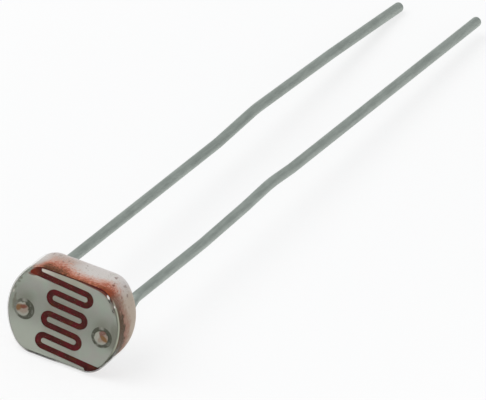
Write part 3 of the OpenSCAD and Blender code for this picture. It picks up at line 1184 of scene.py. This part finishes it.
# %% Resin finish
RIM_GREY = (0.36, 0.37, 0.33)
RIM_SHADE = (0.065, 0.068, 0.05)
RIM_DARK_AND_SHADE = (0.045, 0.035, 0.028)
RIM_FILM = (0.06, 0.012, 0.009)
GLINT_WHITE = (0.77, 0.70, 0.65)
RIM_MARK_DARK = (0.03, 0.03, 0.025)
PAINTED_GLINTS = [(1.68, 1.60, -46, 0.13, 0.046), (2.0, 1.28, -57, 0.08, 0.03)]
DARK_RIM_MARKS = [(1.757, 1.455, -50, 0.12, 0.035), (1.983, 1.105, -60, 0.11, 0.03)]


def resin_finish():
    made = FaceFinish("clear_resin")
    place, x, y, z = made.drawing()
    grains = made.noise(place, 6.0, 3.0, 0.6)
    wavy = made.outside(x, y) + (grains - 0.5) * 0.03
    right_low = made.lower_right(x, y)
    metal_side = made.larger(made.lower_left(x, y), right_low)
    # Darker along the middle of the lower edge: the film's dark rim there, with painted shade of
    # the rounded bottom edge.
    dark_and_shaded_bottom = made.fade(y, -1.4, -1.7) * made.fade(made.size(x + 0.62), 0.95, 0.45)
    rim = made.fade(wavy + dark_and_shaded_bottom * 0.03, -0.03, 0.015) * made.fade(z, -0.3, -0.1) * metal_side
    # Two painted glints on the upper right rim, and two dark marks beside them.
    white = made.marks(x, y, PAINTED_GLINTS) * made.fade(z, -0.2, 0.0)
    dark = made.marks(x, y, DARK_RIM_MARKS) * made.fade(z, -0.2, 0.0)
    tint = made.blend(dark_and_shaded_bottom, made.blend(right_low, RIM_GREY, RIM_SHADE), RIM_DARK_AND_SHADE)
    tint = made.blend(made.last_row(x, y), tint, RIM_FILM)
    tint = made.blend(dark, made.blend(white, tint, GLINT_WHITE), RIM_MARK_DARK)
    clear = made.node("ShaderNodeBsdfTransparent", {}, {"Color": (0.985, 0.985, 0.98, 1)})
    relief = made.bump(made.noise(place, 1.2, 2.0), 0.03, 0.3)
    gloss = made.surface({
        "Base Color": tint,
        "Roughness": 0.12,
        "Specular IOR Level": 0.25,
        "Normal": relief,
    })
    edge_on = made.node("ShaderNodeFresnel", {}, {"IOR": 1.2, "Normal": relief})
    behind = made.node("ShaderNodeNewGeometry", {}, {}, "Backfacing")
    tinted = made.larger(rim * (0.65 + 0.25 * dark_and_shaded_bottom), made.larger(white, dark) * 0.9)
    share = made.larger(edge_on * 0.6, tinted) * (1 - behind)
    shader = made.node("ShaderNodeMixShader", {}, {0: share, 1: clear, 2: gloss})
    return made.done(shader)


take_up(resin_coat)
bpy.ops.object.shade_smooth()
resin_coat.modifiers.new("evened", "WEIGHTED_NORMAL")
bpy.ops.object.modifier_apply(modifier="evened")
finish_piece(resin_coat, resin_finish(), "clear_coat")

# %% [markdown]
# ## Floor and light
# The part lies on a white table under soft studio light. A white sky alone would show no
# shadow, so there is a floor. It is lit like the part and keeps the soft shadow, and fades to
# plain white further off. It is open from below, so that the underside can be seen too.

# %% Floor
FLOOR_SIZE = 6
WHITE_NEAR_PART = 0.72
SHADOW_END = (0.006, 0.03)
clear_desk()
bpy.ops.mesh.primitive_plane_add(size=FLOOR_SIZE, location=(0, 0, 0))
floor = bpy.context.object
floor.name = "floor"

floor_look = Finish("white_floor")
floor_place = floor_look.node("ShaderNodeTexCoord", {}, {}, "Object")
floor_x, floor_y = [
    floor_look.node("ShaderNodeSeparateXYZ", {}, {0: floor_place}, out) for out in (0, 1)
]
far = floor_look.fade(floor_look.distance(floor_x, floor_y * 0.5), *SHADOW_END)
seen = [
    floor_look.node("ShaderNodeLightPath", {}, {}, ray)
    for ray in ("Is Camera Ray", "Is Glossy Ray", "Is Transmission Ray")
]
seen_ray = floor_look.larger(floor_look.larger(seen[0], seen[1]), seen[2])
matt = floor_look.node("ShaderNodeBsdfDiffuse", {}, {"Color": (0.92, 0.92, 0.92, 1)})
plain_white = floor_look.node("ShaderNodeEmission", {}, {"Color": (1, 1, 1, 1), "Strength": 1.0})
top_side = floor_look.node("ShaderNodeMixShader", {}, {
    0: seen_ray * (WHITE_NEAR_PART + (1 - WHITE_NEAR_PART) * far),
    1: matt,
    2: plain_white,
})
open_side = floor_look.node("ShaderNodeBsdfTransparent", {}, {})
under = floor_look.node("ShaderNodeNewGeometry", {}, {}, "Backfacing")
floor_shader = floor_look.node("ShaderNodeMixShader", {}, {0: under, 1: top_side, 2: open_side})
floor.data.materials.append(floor_look.done(floor_shader))
print("floor laid")

# %% Light
world = bpy.data.worlds.new("studio")
world.use_nodes = True
bpy.context.scene.world = world
sky = Finish("studio", world.node_tree)
sky_place = sky.node("ShaderNodeTexCoord", {}, {}, "Generated")
heading_up = sky.node("ShaderNodeSeparateXYZ", {}, {0: sky_place}, 2)
sky_colour = sky.ramp(heading_up * 0.5 + 0.5, [
    (0.0, (1.0, 1.0, 1.0)),
    (0.50, (1.0, 1.0, 1.0)),
    (0.56, (0.45, 0.46, 0.47)),
    (1.0, (0.55, 0.56, 0.57)),
])
sky_light = sky.node("ShaderNodeBackground", {}, {"Color": sky_colour, "Strength": 1.0})
sky.node("ShaderNodeOutputWorld", {}, {"Surface": sky_light})


def add_lamp(name, place, size, power):
    """A square soft lamp that points at the part."""
    data = bpy.data.lights.new(name, "AREA")
    data.size = size
    data.energy = power
    lamp = bpy.data.objects.new(name, data)
    lamp.location = place
    lamp.rotation_euler = (-Vector(place)).to_track_quat("-Z", "Y").to_euler()
    bpy.context.scene.collection.objects.link(lamp)


add_lamp("key", (-0.35, -0.35, 0.65), 0.6, 3.9)
add_lamp("fill", (0.5, -0.5, 0.45), 0.5, 0.8)
print("lamps", [thing.name for thing in bpy.data.lights])
